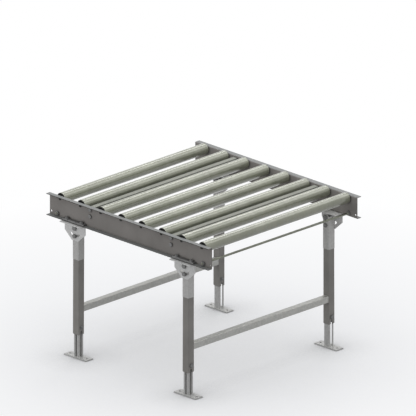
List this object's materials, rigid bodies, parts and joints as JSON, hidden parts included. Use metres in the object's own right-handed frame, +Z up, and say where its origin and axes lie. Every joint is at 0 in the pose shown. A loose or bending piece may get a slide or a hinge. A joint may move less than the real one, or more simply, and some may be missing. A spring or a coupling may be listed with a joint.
{
  "type": "roller conveyor",
  "caption": "Gravity roller conveyor section with channel side rails and free-spinning rollers on height-adjustable stands with tilting heads.",
  "frame": {"origin": "middle of the section on the floor, below the centre of the rollers", "axes": "+X along the conveyor, the way goods roll; +Y across it, along the rollers, to the left rail; +Z up"},
  "size_m": [1, 0.974, 0.7399],
  "materials": {
    "rail_paint": "semi-matt warm dark grey stove enamel",
    "roller_zinc": "satin zinc plate, faintly olive",
    "housing_plastic": "black moulded technopolymer",
    "bearing_steel": "ground steel",
    "bright_steel": "drawn bar, oiled",
    "fastener_zinc": "dark zinc plate",
    "leg_paint": "semi-matt dark grey enamel",
    "stand_zinc": "galvanised, satin",
    "cross_member_paint": "semi-matt grey enamel"
  },
  "bodies": {
    "frame": {"left_rail": "rail_paint", "right_rail": "rail_paint", "roller_1_axle": "bright_steel", "roller_2_axle": "bright_steel", "roller_3_axle": "bright_steel", "roller_4_axle": "bright_steel", "roller_5_axle": "bright_steel", "roller_6_axle": "bright_steel", "roller_7_axle": "bright_steel", "roller_8_axle": "bright_steel", "bearing_inner_rings": "bearing_steel", "axle_springs": "bearing_steel", "rear_cross_member": "cross_member_paint", "front_cross_member": "cross_member_paint", "cross_member_bolts": "fastener_zinc", "rear_tie_rod": "bright_steel", "front_tie_rod": "bright_steel", "tie_rod_nuts": "fastener_zinc", "clamp_bars": "fastener_zinc", "clamp_studs": "fastener_zinc", "clamp_nuts": "fastener_zinc", "pivot_bolts": "fastener_zinc", "front_left_head_bracket": "stand_zinc", "front_right_head_bracket": "stand_zinc", "rear_left_head_bracket": "stand_zinc", "rear_right_head_bracket": "stand_zinc"},
    "roller_1": {"roller_1_tube": "roller_zinc", "roller_1_housings": "housing_plastic"},
    "roller_2": {"roller_2_tube": "roller_zinc", "roller_2_housings": "housing_plastic"},
    "roller_3": {"roller_3_tube": "roller_zinc", "roller_3_housings": "housing_plastic"},
    "roller_4": {"roller_4_tube": "roller_zinc", "roller_4_housings": "housing_plastic"},
    "roller_5": {"roller_5_tube": "roller_zinc", "roller_5_housings": "housing_plastic"},
    "roller_6": {"roller_6_tube": "roller_zinc", "roller_6_housings": "housing_plastic"},
    "roller_7": {"roller_7_tube": "roller_zinc", "roller_7_housings": "housing_plastic"},
    "roller_8": {"roller_8_tube": "roller_zinc", "roller_8_housings": "housing_plastic"},
    "front_stand": {"front_left_leg": "leg_paint", "front_right_leg": "leg_paint", "front_head_sleeves": "stand_zinc", "front_crossbar": "stand_zinc", "front_tilt_locks": "fastener_zinc", "front_height_locks": "fastener_zinc"},
    "front_left_foot": {"front_left_foot": "stand_zinc"},
    "front_right_foot": {"front_right_foot": "stand_zinc"},
    "rear_stand": {"rear_left_leg": "leg_paint", "rear_right_leg": "leg_paint", "rear_head_sleeves": "stand_zinc", "rear_crossbar": "stand_zinc", "rear_tilt_locks": "fastener_zinc", "rear_height_locks": "fastener_zinc"},
    "rear_left_foot": {"rear_left_foot": "stand_zinc"},
    "rear_right_foot": {"rear_right_foot": "stand_zinc"}
  },
  "joints": [
    {"name": "roller_1_spin", "type": "hinge", "parent": "frame", "child": "roller_1", "pos_m": [-0.4375, 0, 0.715], "axis": [0, 1, 0], "continuous": true},
    {"name": "roller_2_spin", "type": "hinge", "parent": "frame", "child": "roller_2", "pos_m": [-0.3125, 0, 0.715], "axis": [0, 1, 0], "continuous": true},
    {"name": "roller_3_spin", "type": "hinge", "parent": "frame", "child": "roller_3", "pos_m": [-0.1875, 0, 0.715], "axis": [0, 1, 0], "continuous": true},
    {"name": "roller_4_spin", "type": "hinge", "parent": "frame", "child": "roller_4", "pos_m": [-0.0625, 0, 0.715], "axis": [0, 1, 0], "continuous": true},
    {"name": "roller_5_spin", "type": "hinge", "parent": "frame", "child": "roller_5", "pos_m": [0.0625, 0, 0.715], "axis": [0, 1, 0], "continuous": true},
    {"name": "roller_6_spin", "type": "hinge", "parent": "frame", "child": "roller_6", "pos_m": [0.1875, 0, 0.715], "axis": [0, 1, 0], "continuous": true},
    {"name": "roller_7_spin", "type": "hinge", "parent": "frame", "child": "roller_7", "pos_m": [0.3125, 0, 0.715], "axis": [0, 1, 0], "continuous": true},
    {"name": "roller_8_spin", "type": "hinge", "parent": "frame", "child": "roller_8", "pos_m": [0.4375, 0, 0.715], "axis": [0, 1, 0], "continuous": true},
    {"name": "front_stand_tilt", "type": "hinge", "parent": "frame", "child": "front_stand", "pos_m": [0.33875, 0, 0.606], "axis": [0, 1, 0], "range_deg": [-40, 40]},
    {"name": "front_left_foot_height", "type": "slide", "parent": "front_stand", "child": "front_left_foot", "axis": [0, 0, -1], "range_m": [-0.095, 0.25]},
    {"name": "front_right_foot_height", "type": "slide", "parent": "front_stand", "child": "front_right_foot", "axis": [0, 0, -1], "range_m": [-0.095, 0.25]},
    {"name": "rear_stand_tilt", "type": "hinge", "parent": "frame", "child": "rear_stand", "pos_m": [-0.33875, 0, 0.606], "axis": [0, 1, 0], "range_deg": [-40, 40]},
    {"name": "rear_left_foot_height", "type": "slide", "parent": "rear_stand", "child": "rear_left_foot", "axis": [0, 0, -1], "range_m": [-0.095, 0.25]},
    {"name": "rear_right_foot_height", "type": "slide", "parent": "rear_stand", "child": "rear_right_foot", "axis": [0, 0, -1], "range_m": [-0.095, 0.25]}
  ]
}
